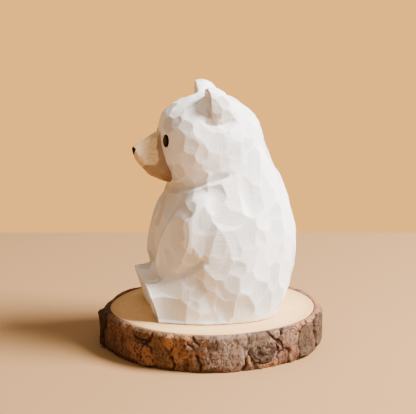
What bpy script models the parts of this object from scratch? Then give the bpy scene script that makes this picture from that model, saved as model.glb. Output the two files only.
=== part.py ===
"""A hand-carved, white-painted wooden bear that sits on a slice of log with its bark on.

The frame: +Z up, the bear faces -Y, and the origin is the middle of the slice's underside.
Lengths are in metres, and MM turns a number of millimetres into metres.

The bear is one carved block with a bare-wood muzzle, a black nose and two black bead eyes let into it.
It stands loose on the slice. The slice is a disc of wood, a ring of inner bark and separate bark scales.
"""

import math

import bmesh
import bpy
from mathutils import Matrix, Vector

MM = 0.001

# ---- clearances -------------------------------------------------------------------------------
SEAT_GAP = 0.3 * MM  # between any two pieces that touch

# ---- the log slice ----------------------------------------------------------------------------
SLICE_THICKNESS = 15.0 * MM
WOOD_RADIUS = 41.2 * MM
WOOD_EDGE_BEVEL = 0.4 * MM
INNER_BARK_THICKNESS = 2.2 * MM
BARK_EDGE_BEVEL = 0.7 * MM
BARK_SCALE_THICKNESS = 1.7 * MM
BARK_SCALE_RISE = 0.6 * MM  # how much higher a scale's middle stands than its rim
SLICE_SEGMENTS = 72
# Each lobe of the outline: waves round the slice, share of the radius, turn in degrees.
OUTLINE_LOBES = ((2, 0.026, 180.0), (3, 0.008, 40.0), (5, 0.005, 110.0), (8, 0.0025, 20.0))
CRACK_WIDTH = 0.9 * MM  # between two bark scales side by side
CRACK_WANDER = 1.1 * MM  # how far a crack swings to either side on its way up
# Each bark scale: the two cracks that it lies between, in degrees round from +X, its lowest and highest
# point as shares of the slice's thickness, and its thickness as a share of BARK_SCALE_THICKNESS.
BARK_SCALES = (
    (-124, -101, 0.03, 0.92, 1.10),
    (-101, -85, 0.02, 0.97, 1.30),
    (-85, -62, 0.05, 0.90, 0.80),
    (-62, -41, 0.03, 0.62, 0.70),
    (-20, -3, 0.10, 0.97, 0.45),
    (7, 25, 0.16, 0.74, 0.90),
    (25, 40, 0.40, 0.97, 0.60),
    (40, 57, 0.05, 0.93, 1.05),
    (57, 73, 0.08, 0.96, 1.15),
    (73, 97, 0.04, 0.90, 0.90),
    (97, 121, 0.10, 0.96, 1.00),
    (121, 148, 0.03, 0.88, 0.80),
    (155, 182, 0.08, 0.95, 1.05),
    (182, 204, 0.04, 0.60, 0.90),
    (182, 204, 0.68, 0.97, 0.70),
    (204, 232, 0.06, 0.94, 1.00),
)
SCALE_COLUMNS = 8
SCALE_ROWS = 4

# ---- the bear's masses ------------------------------------------------------------------------
TRUNK_HEIGHT = 84.0 * MM
TRUNK_DEPTH = 63.0 * MM
TRUNK_WIDTH = 62.0 * MM
TRUNK_CENTRE_Y = 4.0 * MM
HEAD_HEIGHT = 39.0 * MM
HEAD_DEPTH = 43.0 * MM
HEAD_WIDTH = 42.0 * MM
HEAD_CENTRE_Y = -0.4 * MM
CROWN_RISE = 5.5 * MM  # from the trunk's top, inside the head, up to the crown
BEAR_BASE_Z = SLICE_THICKNESS + SEAT_GAP
CROWN_Z = BEAR_BASE_Z + TRUNK_HEIGHT + CROWN_RISE
HEAD_BASE_Z = CROWN_Z - HEAD_HEIGHT
BELLY_Y = TRUNK_CENTRE_Y - TRUNK_DEPTH / 2
# Sections from the bottom up: height share of the mass, then front, back and half width as shares of the
# mass's half depth and half width, with the front negative.
TRUNK_SECTIONS = (
    (0.000, -0.640, 0.810, 0.890),
    (0.060, -0.700, 0.915, 0.950),
    (0.160, -0.820, 0.985, 0.990),
    (0.290, -0.900, 1.000, 1.000),
    (0.420, -0.895, 0.965, 0.975),
    (0.530, -0.800, 0.895, 0.915),
    (0.640, -0.660, 0.790, 0.825),
    (0.740, -0.380, 0.665, 0.720),
    (0.840, -0.160, 0.545, 0.610),
    (0.930, -0.040, 0.420, 0.450),
    (1.000, 0.040, 0.240, 0.250),
)
HEAD_SECTIONS = (
    (0.000, -0.420, 0.300, 0.340),
    (0.045, -0.760, 0.500, 0.630),
    (0.130, -0.910, 0.700, 0.840),
    (0.260, -0.960, 0.870, 0.960),
    (0.420, -1.000, 0.970, 1.000),
    (0.570, -1.000, 0.960, 0.985),
    (0.720, -0.970, 0.850, 0.890),
    (0.840, -0.800, 0.640, 0.700),
    (0.930, -0.530, 0.400, 0.470),
    (0.985, -0.260, 0.160, 0.230),
)
TRUNK_SQUARENESS = 2.15
HEAD_SQUARENESS = 2.55

FOOT_WIDTH = 14.8 * MM
FOOT_HEIGHT = 15.0 * MM
FOOT_CENTRE_X = 13.2 * MM
THIGH_WIDTH = 22.4 * MM
THIGH_HEIGHT = 24.0 * MM
THIGH_INSET = 2.6 * MM  # from the trunk's side in to the thigh's
THIGH_CENTRE_X = TRUNK_WIDTH / 2 - THIGH_INSET - THIGH_WIDTH / 2
HIP_Y = TRUNK_CENTRE_Y - 2.0 * MM
SOLE_Y = BELLY_Y + 1.3 * MM  # where the sole meets the slice
SOLE_LEAN = 16.0  # degrees that the sole leans forward at the toes
FOOT_SQUARENESS = 3.2

ARM_WIDTH = 20.0 * MM
ARM_DEPTH = 23.0 * MM
ARM_END = 3.2 * MM  # how far an arm goes on beyond the middles of its shoulder and its paw
SHOULDER_INSET = 10.0 * MM  # from the trunk's side in to the shoulder's middle
SHOULDER_DROP = 34.0 * MM  # from the trunk's top down to the shoulder's middle
SHOULDER_DEPTH = 23.5 * MM  # from the belly's front back to the shoulder's middle
PAW_CENTRE_X = 12.5 * MM
PAW_RISE = 2.5 * MM  # from the top of the foot up to the paw's middle
PAW_DEPTH = 6.5 * MM  # from the belly's front back to the paw's middle

EAR_WIDTH = 14.0 * MM
EAR_HEIGHT = 19.0 * MM  # most of it is inside the head
EAR_DEPTH = 12.5 * MM
EAR_INSET = 9.2 * MM  # from the head's side in to the ear's middle
EAR_FRONT_Y = HEAD_CENTRE_Y - 4.6 * MM  # the plane of the ears' flat fronts
EAR_RISE = 3.2 * MM  # ear tip above the crown
EAR_SCOOP_DEPTH = 1.8 * MM
EAR_RIM = 1.8 * MM  # left round the scoop
EAR_LEAN = 10.0  # degrees that each ear leans outwards
# Sections from the flat front backwards: share of the depth, half width, half height and drop, which are
# shares of half the ear's width and height.
EAR_SECTIONS = (
    (0.00, 0.94, 0.97, 0.00),
    (0.25, 1.00, 1.00, 0.00),
    (0.55, 0.99, 0.93, 0.07),
    (0.80, 0.88, 0.75, 0.24),
    (1.00, 0.60, 0.48, 0.50),
)

CARVED_VOXEL = 0.9 * MM
CARVED_SMOOTHING = 5
CARVED_KEPT_SHARE = 0.024  # of the voxel surface's faces

# ---- the muzzle, nose and eyes ------------------------------------------------------------------
MUZZLE_LENGTH = 13.0 * MM  # from the seam's plane to the tip
MUZZLE_HEIGHT = 21.8 * MM
MUZZLE_WIDTH = 18.0 * MM  # at its middle height
MUZZLE_PLUG = 4.0 * MM  # how far it is let into the head
MUZZLE_SEAM_DEPTH = 2.6 * MM  # from the head's foremost point back to the seam's plane
MUZZLE_MIDDLE = 13.7 * MM  # its middle height above the underside of the head
MUZZLE_TAPER = 0.55  # how much narrower its top is than its middle, and its jaw wider
MUZZLE_SQUARENESS = 2.35
# Sections from the seam to the tip: share of the length, then top, bottom and half width as shares of
# half the muzzle's height and half its width.
MUZZLE_SECTIONS = (
    (0.00, 1.000, -1.000, 1.000),
    (0.24, 0.915, -0.915, 0.940),
    (0.46, 0.770, -0.790, 0.815),
    (0.69, 0.610, -0.575, 0.650),
    (0.85, 0.505, -0.385, 0.500),
    (0.95, 0.430, -0.165, 0.370),
    (1.00, 0.360, 0.010, 0.230),
)

NOSE_WIDTH = 5.0 * MM
NOSE_HEIGHT = 3.4 * MM
NOSE_PROUD = 0.55 * MM
NOSE_LENGTH = 3.6 * MM
NOSE_RISE = 2.2 * MM  # above the muzzle's middle height

EYE_WIDTH = 3.8 * MM
EYE_HEIGHT = 4.9 * MM
EYE_PROUD = 0.65 * MM
EYE_LENGTH = 2.6 * MM
EYE_X = 10.2 * MM
EYE_RISE = 21.4 * MM  # above the underside of the head
EYE_TURN = 28.0  # degrees outwards from straight ahead

ROUND = 2.0  # the squareness of an ellipse
RING_POINTS = 32
STEPS_BETWEEN_SECTIONS = 3

# Each finish: colour, roughness, metallic.
WHITE_PAINT = ((0.83, 0.82, 0.80), 0.55, 0.0)
BARE_WOOD = ((0.60, 0.40, 0.22), 0.60, 0.0)
BLACK_GLOSS = ((0.012, 0.011, 0.010), 0.18, 0.0)
SAWN_WOOD = ((0.78, 0.61, 0.40), 0.70, 0.0)
INNER_BARK = ((0.33, 0.17, 0.09), 0.85, 0.0)
OUTER_BARK = ((0.24, 0.16, 0.11), 0.90, 0.0)


def clear_scene():
    for obj in list(bpy.data.objects):
        bpy.data.objects.remove(obj)


def finish_material(name, finish):
    colour, roughness, metallic = finish
    material = bpy.data.materials.new(name)
    material.use_nodes = True
    shader = material.node_tree.nodes["Principled BSDF"]
    shader.inputs["Base Color"].default_value = (*colour, 1.0)
    shader.inputs["Roughness"].default_value = roughness
    shader.inputs["Metallic"].default_value = metallic
    return material


def object_from(name, mesh_maker, material=None):
    """A new object whose mesh is what mesh_maker leaves in the bmesh that it is given."""
    bm = bmesh.new()
    mesh_maker(bm)
    bmesh.ops.recalc_face_normals(bm, faces=bm.faces)
    mesh = bpy.data.meshes.new(name)
    bm.to_mesh(mesh)
    bm.free()
    obj = bpy.data.objects.new(name, mesh)
    bpy.context.collection.objects.link(obj)
    if material:
        mesh.materials.append(material)
    return obj


def as_cutter(obj):
    obj.hide_render = True
    obj.display_type = "WIRE"
    return obj


def cut(obj, cutter):
    boolean = obj.modifiers.new("cut_" + cutter.name, "BOOLEAN")
    boolean.operation = "DIFFERENCE"
    boolean.object = as_cutter(cutter)


def interpolated(rows, steps):
    """The rows with smooth ones added between them, by a Catmull-Rom curve."""
    filled = []
    for i in range(len(rows) - 1):
        before, start = rows[max(i - 1, 0)], rows[i]
        end, after = rows[i + 1], rows[min(i + 2, len(rows) - 1)]
        for step in range(steps):
            t = step / steps
            filled.append(
                tuple(
                    0.5 * (2 * b + (c - a) * t + (2 * a - 5 * b + 4 * c - d) * t**2 + (3 * b - a - 3 * c + d) * t**3)
                    for a, b, c, d in zip(before, start, end, after)
                )
            )
    return filled + [tuple(rows[-1])]


def superellipse(angle, squareness):
    """A point on a unit superellipse: squareness 2 is a circle, and more is boxier."""
    c, s = math.cos(angle), math.sin(angle)
    power = 2 / squareness
    return math.copysign(abs(c) ** power, c), math.copysign(abs(s) ** power, s)


def ring(centre, across, up, half_across, half_up, squareness, taper=0.0):
    """A closed section in the plane of across and up. taper narrows the side that up points to."""
    points = []
    for i in range(RING_POINTS):
        a, u = superellipse(2 * math.pi * i / RING_POINTS, squareness)
        points.append(centre + across * (half_across * a * (1 - taper * u)) + up * (half_up * u))
    return points


def loft(bm, rings):
    """A closed skin over the rings, with a flat cap at each end."""
    made = [[bm.verts.new(point) for point in points] for points in rings]
    for low, high in zip(made, made[1:]):
        for i in range(len(low)):
            j = (i + 1) % len(low)
            bm.faces.new((low[i], low[j], high[j], high[i]))
    bm.faces.new(made[0])
    bm.faces.new(reversed(made[-1]))


def ellipsoid(bm, centre, half_sizes, turn=None):
    """A ball of the three half sizes, turned by a rotation matrix and moved to centre."""
    place = Matrix.Translation(centre) @ (turn or Matrix()).to_4x4() @ Matrix.Diagonal((*half_sizes, 1.0))
    bmesh.ops.create_icosphere(bm, subdivisions=4, radius=1.0, matrix=place)


# ---- the bear ---------------------------------------------------------------------------------
def stacked_mass(bm, sections, base, height, centre_y, half_depth, half_width, squareness):
    """The trunk or the head: level sections one above the other."""
    rings = []
    for share, front, back, width in interpolated(sections, STEPS_BETWEEN_SECTIONS):
        middle = centre_y + half_depth * (front + back) / 2
        centre = Vector((0.0, middle, base + height * share))
        rings.append(
            ring(
                centre,
                Vector((1, 0, 0)),
                Vector((0, 1, 0)),
                half_width * width,
                half_depth * (back - front) / 2,
                squareness,
            )
        )
    loft(bm, rings)


def trunk(bm):
    stacked_mass(
        bm, TRUNK_SECTIONS, BEAR_BASE_Z, TRUNK_HEIGHT, TRUNK_CENTRE_Y, TRUNK_DEPTH / 2, TRUNK_WIDTH / 2,
        TRUNK_SQUARENESS,
    )


def head(bm):
    stacked_mass(
        bm, HEAD_SECTIONS, HEAD_BASE_Z, HEAD_HEIGHT, HEAD_CENTRE_Y, HEAD_DEPTH / 2, HEAD_WIDTH / 2, HEAD_SQUARENESS,
    )


def head_front_at(x, z):
    """The y of the head's front surface at a place across and up, worked out from its sections."""
    share = (z - HEAD_BASE_Z) / HEAD_HEIGHT
    rows = interpolated(HEAD_SECTIONS, STEPS_BETWEEN_SECTIONS)
    low = max((row for row in rows if row[0] <= share), key=lambda row: row[0])
    high = min((row for row in rows if row[0] >= share), key=lambda row: row[0])
    t = (share - low[0]) / max(high[0] - low[0], 1e-9)
    _, front, back, width = (a + (b - a) * t for a, b in zip(low, high))
    reach = min(abs(x) / (HEAD_WIDTH / 2 * width), 1.0)
    bulge = (1 - reach**HEAD_SQUARENESS) ** (1 / HEAD_SQUARENESS)
    return HEAD_CENTRE_Y + HEAD_DEPTH / 2 * ((front + back) / 2 - (back - front) / 2 * bulge)


def arm(bm, side):
    """side is 1 for the bear's left and -1 for its right."""
    shoulder_x = (TRUNK_WIDTH / 2 - SHOULDER_INSET) * side
    shoulder = Vector((shoulder_x, BELLY_Y + SHOULDER_DEPTH, BEAR_BASE_Z + TRUNK_HEIGHT - SHOULDER_DROP))
    paw = Vector((PAW_CENTRE_X * side, BELLY_Y + PAW_DEPTH, BEAR_BASE_Z + FOOT_HEIGHT + PAW_RISE))
    along = (shoulder - paw).normalized()
    outwards = Vector((side, 0, 0))
    outwards = (outwards - along * outwards.dot(along)).normalized()
    forwards = along.cross(outwards)
    turn = Matrix((outwards, forwards, along)).transposed()
    half_length = (shoulder - paw).length / 2 + ARM_END
    ellipsoid(bm, (shoulder + paw) / 2, (ARM_WIDTH / 2, ARM_DEPTH / 2, half_length), turn)


def leg(bm, side):
    """A thigh and foot in one, from the sole back to the hip. Its underside is cut flat later."""
    def between(share, foot, hip):
        return foot + (hip - foot) * share

    toes = SOLE_Y - FOOT_HEIGHT * math.tan(math.radians(SOLE_LEAN))
    rings = []
    for share, growth in ((0.0, 0.0), (0.15, 0.08), (0.40, 0.55), (0.65, 0.90), (1.0, 1.0)):
        y = between(share, toes, HIP_Y)
        x = between(growth, FOOT_CENTRE_X, THIGH_CENTRE_X)
        half_width = between(growth, FOOT_WIDTH / 2, THIGH_WIDTH / 2)
        height = between(growth, FOOT_HEIGHT, THIGH_HEIGHT)
        centre = Vector((x * side, y, BEAR_BASE_Z))
        rings.append(ring(centre, Vector((1, 0, 0)), Vector((0, 0, 1)), half_width, height, FOOT_SQUARENESS))
    loft(bm, rings)


def ear_place(side):
    """The middle of an ear's flat front, and the turn that leans it outwards."""
    middle = Vector(((HEAD_WIDTH / 2 - EAR_INSET) * side, EAR_FRONT_Y, CROWN_Z + EAR_RISE - EAR_HEIGHT / 2))
    return middle, Matrix.Rotation(math.radians(EAR_LEAN) * side, 3, "Y")


def ear(bm, side):
    """A flat-fronted ear whose back slopes down into the head."""
    middle, turn = ear_place(side)
    across, up = turn @ Vector((1, 0, 0)), turn @ Vector((0, 0, 1))
    rings = []
    for share, width, height, drop in interpolated(EAR_SECTIONS, STEPS_BETWEEN_SECTIONS):
        centre = middle + Vector((0.0, EAR_DEPTH * share, 0.0)) - up * (EAR_HEIGHT / 2 * drop)
        rings.append(ring(centre, across, up, EAR_WIDTH / 2 * width, EAR_HEIGHT / 2 * height, ROUND))
    loft(bm, rings)


def ear_scoop(bm, side):
    """The shallow hollow in an ear's front."""
    middle, turn = ear_place(side)
    ellipsoid(bm, middle, (EAR_WIDTH / 2 - EAR_RIM, EAR_SCOOP_DEPTH, EAR_HEIGHT / 2 - EAR_RIM), turn)


def block(bm, low, high):
    """A box between two corners."""
    size = high - low
    place = Matrix.Translation((low + high) / 2) @ Matrix.Diagonal((*size, 1.0))
    bmesh.ops.create_cube(bm, size=1.0, matrix=place)


def below_the_bear(bm):
    reach = TRUNK_DEPTH + TRUNK_WIDTH
    depth = max(FOOT_HEIGHT, THIGH_HEIGHT) * 2
    block(bm, Vector((-reach, -reach, BEAR_BASE_Z - depth)), Vector((reach, reach, BEAR_BASE_Z)))


def before_the_soles(bm):
    """A leaning block whose back face is the plane of both soles."""
    reach = TRUNK_WIDTH
    block(bm, Vector((-reach, -reach, -reach)), Vector((reach, 0.0, FOOT_HEIGHT * 1.6)))
    lean = Matrix.Rotation(math.radians(SOLE_LEAN), 4, "X")
    bm.transform(Matrix.Translation((0.0, SOLE_Y, BEAR_BASE_Z)) @ lean)


def muzzle_place():
    """The muzzle's middle on its seam's plane."""
    y = HEAD_CENTRE_Y - HEAD_DEPTH / 2 + MUZZLE_SEAM_DEPTH
    return Vector((0.0, y, HEAD_BASE_Z + MUZZLE_MIDDLE))


def muzzle_shape(bm, grow=0.0):
    """The muzzle with its plug. grow makes it larger all round, for the socket that it sits in."""
    seam = muzzle_place()
    rings = []
    rows = interpolated(MUZZLE_SECTIONS, STEPS_BETWEEN_SECTIONS)
    rows.insert(0, (-(MUZZLE_PLUG + grow) / MUZZLE_LENGTH, *rows[0][1:]))
    for share, top, bottom, width in rows:
        half_height = MUZZLE_HEIGHT / 2 * (top - bottom) / 2 + grow
        rise = MUZZLE_HEIGHT / 2 * (top + bottom) / 2
        centre = seam + Vector((0.0, -MUZZLE_LENGTH * share, rise))
        rings.append(
            ring(
                centre,
                Vector((1, 0, 0)),
                Vector((0, 0, 1)),
                MUZZLE_WIDTH / 2 * width + grow,
                half_height,
                MUZZLE_SQUARENESS,
                MUZZLE_TAPER,
            )
        )
    loft(bm, rings)


def bead(bm, centre, turn, half_width, half_height, length, grow=0.0):
    """An oval stud with a domed front. It points along the local -Y, with centre in the middle of its face."""
    half_x, half_z = half_width + grow, half_height + grow
    dome = min(half_width, half_height) * 0.55
    rows = [(length + grow - dome, 1.0)]
    dome_steps = 4
    for step in range(dome_steps + 1):
        angle = math.pi / 2 * step / (dome_steps + 0.6)
        rows.append((-dome * math.sin(angle), math.cos(angle)))
    rings = []
    points = 20
    for y, share in rows:
        section = []
        for i in range(points):
            around = 2 * math.pi * i / points
            local = Vector((half_x * share * math.cos(around), y + dome, half_z * share * math.sin(around)))
            section.append(centre + turn @ local)
        rings.append(section)
    loft(bm, rings)


def eye_place(side):
    """Where an eye's dome stands proud of the head, and the turn that faces it outwards."""
    z = HEAD_BASE_Z + EYE_RISE
    turn = Matrix.Rotation(math.radians(EYE_TURN) * side, 3, "Z")
    surface = Vector((EYE_X * side, head_front_at(EYE_X, z), z))
    return surface + turn @ Vector((0.0, -EYE_PROUD, 0.0)), turn


def eye(bm, side, grow=0.0):
    centre, turn = eye_place(side)
    bead(bm, centre, turn, EYE_WIDTH / 2, EYE_HEIGHT / 2, EYE_LENGTH, grow)


def nose(bm, grow=0.0):
    tip = muzzle_place() + Vector((0.0, -MUZZLE_LENGTH - NOSE_PROUD, NOSE_RISE))
    bead(bm, tip, Matrix.Identity(3), NOSE_WIDTH / 2, NOSE_HEIGHT / 2, NOSE_LENGTH, grow)


def build_bear():
    white = finish_material("white_paint", WHITE_PAINT)
    bare = finish_material("bare_wood", BARE_WOOD)
    black = finish_material("black_gloss", BLACK_GLOSS)

    def masses(bm):
        trunk(bm)
        head(bm)
        for side in (1, -1):
            arm(bm, side)
            leg(bm, side)
            ear(bm, side)

    body = object_from("carved_body", masses, white)
    remesh = body.modifiers.new("one_block", "REMESH")
    remesh.mode = "VOXEL"
    remesh.voxel_size = CARVED_VOXEL
    smooth = body.modifiers.new("rounded", "SMOOTH")
    smooth.factor = 0.5
    smooth.iterations = CARVED_SMOOTHING
    facets = body.modifiers.new("knife_facets", "DECIMATE")
    facets.ratio = CARVED_KEPT_SHARE
    facets.use_collapse_triangulate = True
    cut(body, object_from("base_cutter", below_the_bear))
    cut(body, object_from("sole_cutter", before_the_soles))
    for side, word in ((1, "left"), (-1, "right")):
        cut(body, object_from(f"ear_scoop_{word}", lambda bm, s=side: ear_scoop(bm, s)))
        cut(body, object_from(f"eye_socket_{word}", lambda bm, s=side: eye(bm, s, SEAT_GAP)))
    cut(body, object_from("muzzle_socket", lambda bm: muzzle_shape(bm, SEAT_GAP)))

    muzzle = object_from("muzzle", muzzle_shape, bare)
    cut(muzzle, object_from("nose_socket", lambda bm: nose(bm, SEAT_GAP)))
    object_from("nose", nose, black)
    for side, word in ((1, "left"), (-1, "right")):
        object_from(f"eye_{word}", lambda bm, s=side: eye(bm, s), black)


# ---- the log slice ----------------------------------------------------------------------------
def wood_radius(angle):
    """The wood's outline: nearly round, with the lobes of a grown trunk."""
    lobes = sum(share * math.cos(waves * angle + math.radians(turn)) for waves, share, turn in OUTLINE_LOBES)
    return WOOD_RADIUS * (1 + lobes)


def inner_bark_radius(angle):
    return wood_radius(angle) + SEAT_GAP + INNER_BARK_THICKNESS


def polar(radius, angle, z):
    return Vector((radius * math.cos(angle), radius * math.sin(angle), z))


def round_the_slice(bm, section_at):
    """Closes up the section that section_at gives at each angle into a solid of revolution."""
    sections = []
    for i in range(SLICE_SEGMENTS):
        angle = 2 * math.pi * i / SLICE_SEGMENTS
        sections.append([bm.verts.new(polar(radius, angle, z)) for radius, z in section_at(angle)])
    count = len(sections[0])
    for here, there in zip(sections, sections[1:] + sections[:1]):
        for i in range(count):
            j = (i + 1) % count
            bm.faces.new((here[i], there[i], there[j], here[j]))


def wood_disc(bm):
    rings = []
    levels = (
        (0.0, WOOD_EDGE_BEVEL),
        (WOOD_EDGE_BEVEL, 0.0),
        (SLICE_THICKNESS - WOOD_EDGE_BEVEL, 0.0),
        (SLICE_THICKNESS, WOOD_EDGE_BEVEL),
    )
    for z, inset in levels:
        angles = [2 * math.pi * i / SLICE_SEGMENTS for i in range(SLICE_SEGMENTS)]
        rings.append([polar(wood_radius(angle) - inset, angle, z) for angle in angles])
    loft(bm, rings)


def inner_bark(bm):
    def section(angle):
        inside, outside = wood_radius(angle) + SEAT_GAP, inner_bark_radius(angle)
        return (
            (inside, 0.0),
            (outside - BARK_EDGE_BEVEL, 0.0),
            (outside, BARK_EDGE_BEVEL),
            (outside, SLICE_THICKNESS - BARK_EDGE_BEVEL),
            (outside - BARK_EDGE_BEVEL, SLICE_THICKNESS),
            (inside, SLICE_THICKNESS),
        )

    round_the_slice(bm, section)


def crack_angle(degrees_round, height_share):
    """Where the crack that starts at this many degrees has wandered to at a height."""
    swing = math.sin(5.1 * height_share + degrees_round) + 0.5 * math.sin(11.3 * height_share + 2 * degrees_round)
    return math.radians(degrees_round) + CRACK_WANDER / 1.5 * swing / WOOD_RADIUS


def bark_scale(bm, row):
    """A curved flake that lies on the inner bark, thickest in its middle, between two cracks."""
    first, last, low, high, thickness_share = row
    half_crack = CRACK_WIDTH / 2 / WOOD_RADIUS
    grid = {}
    for i in range(SCALE_COLUMNS):
        for j in range(SCALE_ROWS):
            u, v = i / (SCALE_COLUMNS - 1), j / (SCALE_ROWS - 1)
            # The top and bottom edges rise and fall a little from crack to crack.
            share = low + (high - low) * (v + (0.5 - v) * 0.12 * (1 + math.sin(4.3 * u + last)))
            start, end = crack_angle(first, share) + half_crack, crack_angle(last, share) - half_crack
            angle = start + (end - start) * u
            under = inner_bark_radius(angle) + SEAT_GAP
            rise = BARK_SCALE_RISE * 16 * u * (1 - u) * v * (1 - v)
            over = under + BARK_SCALE_THICKNESS * thickness_share + rise
            z = SLICE_THICKNESS * share
            grid[i, j] = (bm.verts.new(polar(under, angle, z)), bm.verts.new(polar(over, angle, z)))
    for i in range(SCALE_COLUMNS - 1):
        for j in range(SCALE_ROWS - 1):
            corners = ((i, j), (i + 1, j), (i + 1, j + 1), (i, j + 1))
            bm.faces.new([grid[c][0] for c in reversed(corners)])
            bm.faces.new([grid[c][1] for c in corners])
    border = [(i, 0) for i in range(SCALE_COLUMNS)]
    border += [(SCALE_COLUMNS - 1, j) for j in range(1, SCALE_ROWS)]
    border += [(i, SCALE_ROWS - 1) for i in range(SCALE_COLUMNS - 2, -1, -1)]
    border += [(0, j) for j in range(SCALE_ROWS - 2, 0, -1)]
    for here, there in zip(border, border[1:] + border[:1]):
        bm.faces.new((grid[here][0], grid[there][0], grid[there][1], grid[here][1]))


def build_slice():
    object_from("slice_wood", wood_disc, finish_material("sawn_wood", SAWN_WOOD))
    object_from("inner_bark", inner_bark, finish_material("inner_bark", INNER_BARK))
    outer = finish_material("outer_bark", OUTER_BARK)
    for number, row in enumerate(BARK_SCALES, 1):
        object_from(f"bark_scale_{number:02d}", lambda bm, r=row: bark_scale(bm, r), outer)


clear_scene()
build_slice()
build_bear()
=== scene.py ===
"""Looks for the hand-carved white bear on its slice of log.

Shapes are worked out in millimetres in numpy, in the frame of the CAD model, and turned into metres when
they become meshes. "Base" is the bear's flat underside, and the bear faces -Y.
"""

import math

import bmesh
import bpy
import numpy as np
from mathutils import Matrix, Vector


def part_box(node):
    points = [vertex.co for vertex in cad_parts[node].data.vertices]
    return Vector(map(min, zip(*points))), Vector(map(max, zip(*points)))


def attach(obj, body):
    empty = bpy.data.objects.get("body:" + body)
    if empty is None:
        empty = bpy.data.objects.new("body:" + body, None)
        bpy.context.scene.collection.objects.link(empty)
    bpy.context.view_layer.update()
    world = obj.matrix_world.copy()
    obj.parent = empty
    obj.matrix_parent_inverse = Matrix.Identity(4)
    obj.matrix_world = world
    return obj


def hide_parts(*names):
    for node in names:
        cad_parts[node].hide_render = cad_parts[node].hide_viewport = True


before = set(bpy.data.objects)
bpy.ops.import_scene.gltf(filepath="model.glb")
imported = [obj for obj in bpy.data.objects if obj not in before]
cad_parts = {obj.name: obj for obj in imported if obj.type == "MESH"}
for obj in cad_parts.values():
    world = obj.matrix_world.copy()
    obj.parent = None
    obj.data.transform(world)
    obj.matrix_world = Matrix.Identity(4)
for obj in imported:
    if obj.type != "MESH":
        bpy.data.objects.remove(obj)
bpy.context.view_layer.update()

MM = 0.001
FAR = 1e9
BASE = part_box("carved_body")[0].z / MM
SLICE_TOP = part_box("slice_wood")[1].z / MM


# ---- numbers and noise ----
def curve_table(rows, steps=10):
    """The rows with smooth ones added between them, by a Catmull-Rom curve."""
    rows = np.array(rows, float)
    ends = np.vstack([rows[0], rows, rows[-1]])
    t = np.linspace(0, 1, steps, endpoint=False)[:, None]
    parts = []
    for a, b, c, d in zip(ends, ends[1:], ends[2:], ends[3:]):
        square, cube = 2 * a - 5 * b + 4 * c - d, 3 * b - a - 3 * c + d
        parts.append(0.5 * (2 * b + (c - a) * t + square * t**2 + cube * t**3))
    return np.vstack([*parts, rows[-1:]])


def looked_up(table, share):
    return [np.interp(share, table[:, 0], table[:, i]) for i in range(1, table.shape[1])]


def ramp(x, low, high):
    t = np.clip((x - low) / (high - low), 0, 1)
    return t * t * (3 - 2 * t)


def lattice(cells, seed):
    """A random number from -1 to 1 for each whole-number cell."""
    h = cells[..., 0] * 374761393 + cells[..., 1] * 668265263 + cells[..., 2] * 2147483647 + seed * 974711
    h = (h ^ (h >> 13)) * 1274126177 & 0xFFFFFFFF
    h = (h ^ (h >> 16)) * 2246822519 & 0xFFFFFFFF
    return ((h ^ (h >> 15)) & 0xFFFFFF) / 0x7FFFFF - 1.0


def noise(points, seed=0):
    """Smooth value noise from -1 to 1 with features about 1 across."""
    cell = np.floor(points).astype(np.int64)
    f = points - cell
    f = f * f * f * (f * (f * 6 - 15) + 10)
    total = np.zeros(len(points))
    for corner in np.ndindex(2, 2, 2):
        weight = np.prod(np.where(corner, f, 1 - f), axis=1)
        total += weight * lattice(cell + corner, seed)
    return total


def fractal(points, size, octaves=4, seed=0):
    """Layers of noise: the largest features are size across, and each layer is half the one before."""
    total, share, norm = 0.0, 1.0, 0.0
    for octave in range(octaves):
        total = total + share * noise(points / size * 2**octave, seed + octave * 17)
        norm += share
        share *= 0.5
    return total / norm


def distance_to_line(points, line):
    """How far each point is from a line through the given places."""
    line = np.array(line)
    nearest = np.full(len(points), FAR)
    for a, b in zip(line, line[1:]):
        t = np.clip((points - a) @ (b - a) / ((b - a) @ (b - a)), 0, 1)
        nearest = np.minimum(nearest, np.linalg.norm(points - a - t[:, None] * (b - a), axis=1))
    return nearest


# ---- the bear's shape ----
# The trunk and head: share of the height, then the front, back and half width as shares of the half sizes.
TRUNK = curve_table((
    (0.0, -0.64, 0.735, 0.89),
    (0.06, -0.7, 0.82, 0.95),
    (0.16, -0.82, 0.9, 0.99),
    (0.29, -0.9, 0.96, 1.0),
    (0.42, -0.895, 0.94, 0.975),
    (0.53, -0.8, 0.87, 0.915),
    (0.64, -0.66, 0.765, 0.825),
    (0.74, -0.38, 0.635, 0.72),
    (0.84, -0.16, 0.52, 0.61),
    (0.93, -0.04, 0.42, 0.45),
    (1.0, 0.04, 0.24, 0.25),
))
HEAD = curve_table((
    (0.0, -0.42, 0.3, 0.34),
    (0.045, -0.76, 0.5, 0.63),
    (0.13, -0.91, 0.7, 0.84),
    (0.26, -0.96, 0.87, 0.96),
    (0.42, -1.0, 0.97, 1.0),
    (0.57, -1.0, 0.96, 0.985),
    (0.72, -0.97, 0.85, 0.89),
    (0.84, -0.8, 0.64, 0.7),
    (0.93, -0.53, 0.4, 0.47),
    (0.985, -0.26, 0.16, 0.23),
))
# The ear: share of the depth, half width and half height as shares, and how far it has dropped.
EAR = curve_table((
    (0.0, 0.94, 0.97, 0.0),
    (0.25, 1.0, 1.0, 0.0),
    (0.55, 0.99, 0.93, 0.07),
    (0.8, 0.88, 0.75, 0.24),
    (1.0, 0.6, 0.48, 0.5),
))
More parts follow.
